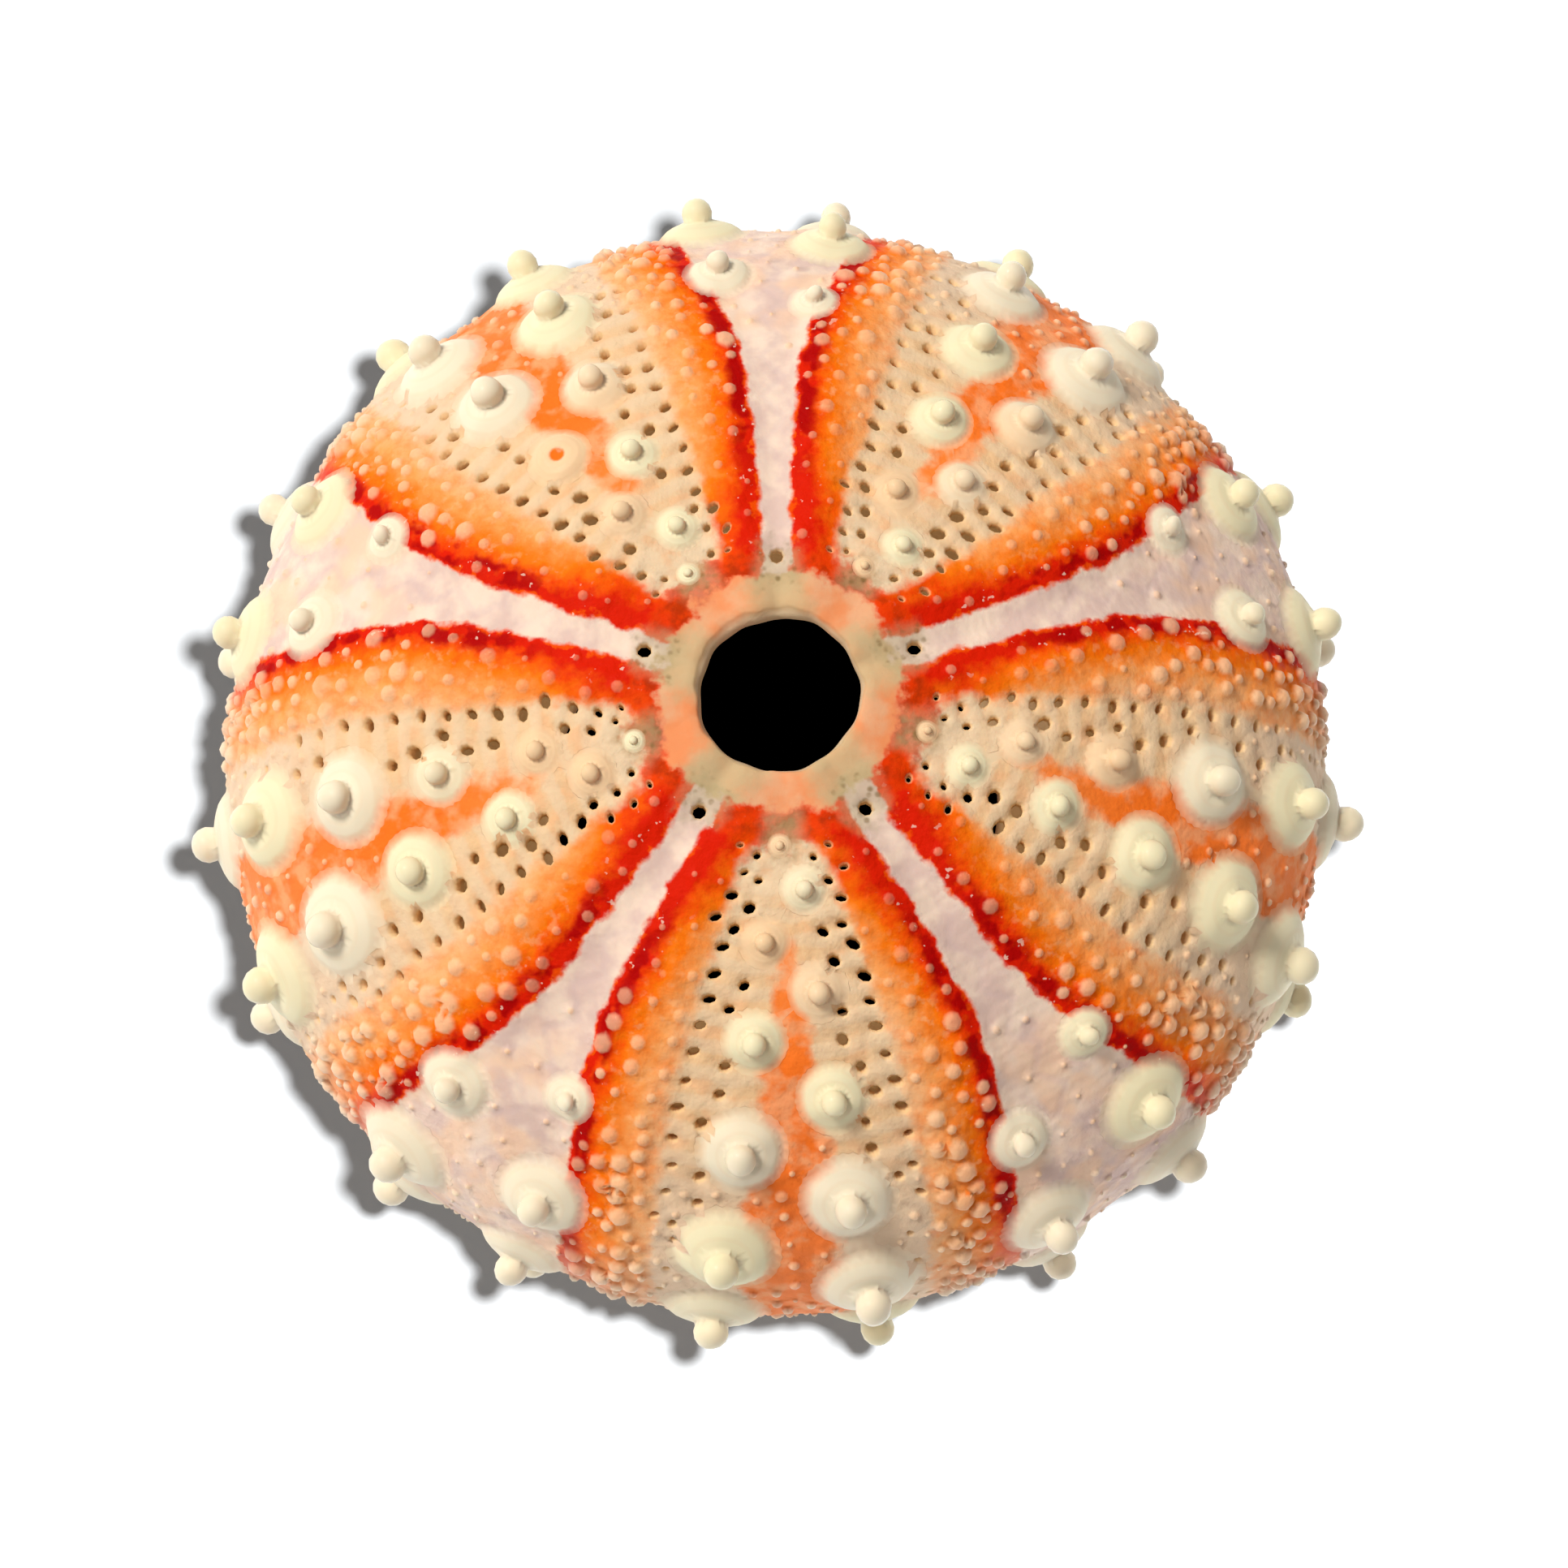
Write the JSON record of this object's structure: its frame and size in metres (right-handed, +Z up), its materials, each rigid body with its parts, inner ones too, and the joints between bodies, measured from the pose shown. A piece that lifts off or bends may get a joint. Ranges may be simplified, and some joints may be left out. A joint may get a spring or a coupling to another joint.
{
  "type": "sea urchin shell",
  "caption": "Hollow, slightly flattened round shell of a sea urchin, open at the crown and underneath and studded with rows of knobs; an ornament that rests on its mouth side.",
  "frame": {"origin": "middle of the plane that the shell rests on, on the shell's growth axis", "axes": "+Z up along the growth axis from the mouth to the crown; +Y along the middle of one interambulacrum"},
  "size_m": [0.0424, 0.0426, 0.0208],
  "materials": {
    "calcite": "matt fused calcite plates in orange, vermilion, cream and white bands, with glossy ivory knobs"
  },
  "bodies": {
    "root": {"sea_urchin_test": "calcite"}
  },
  "joints": []
}
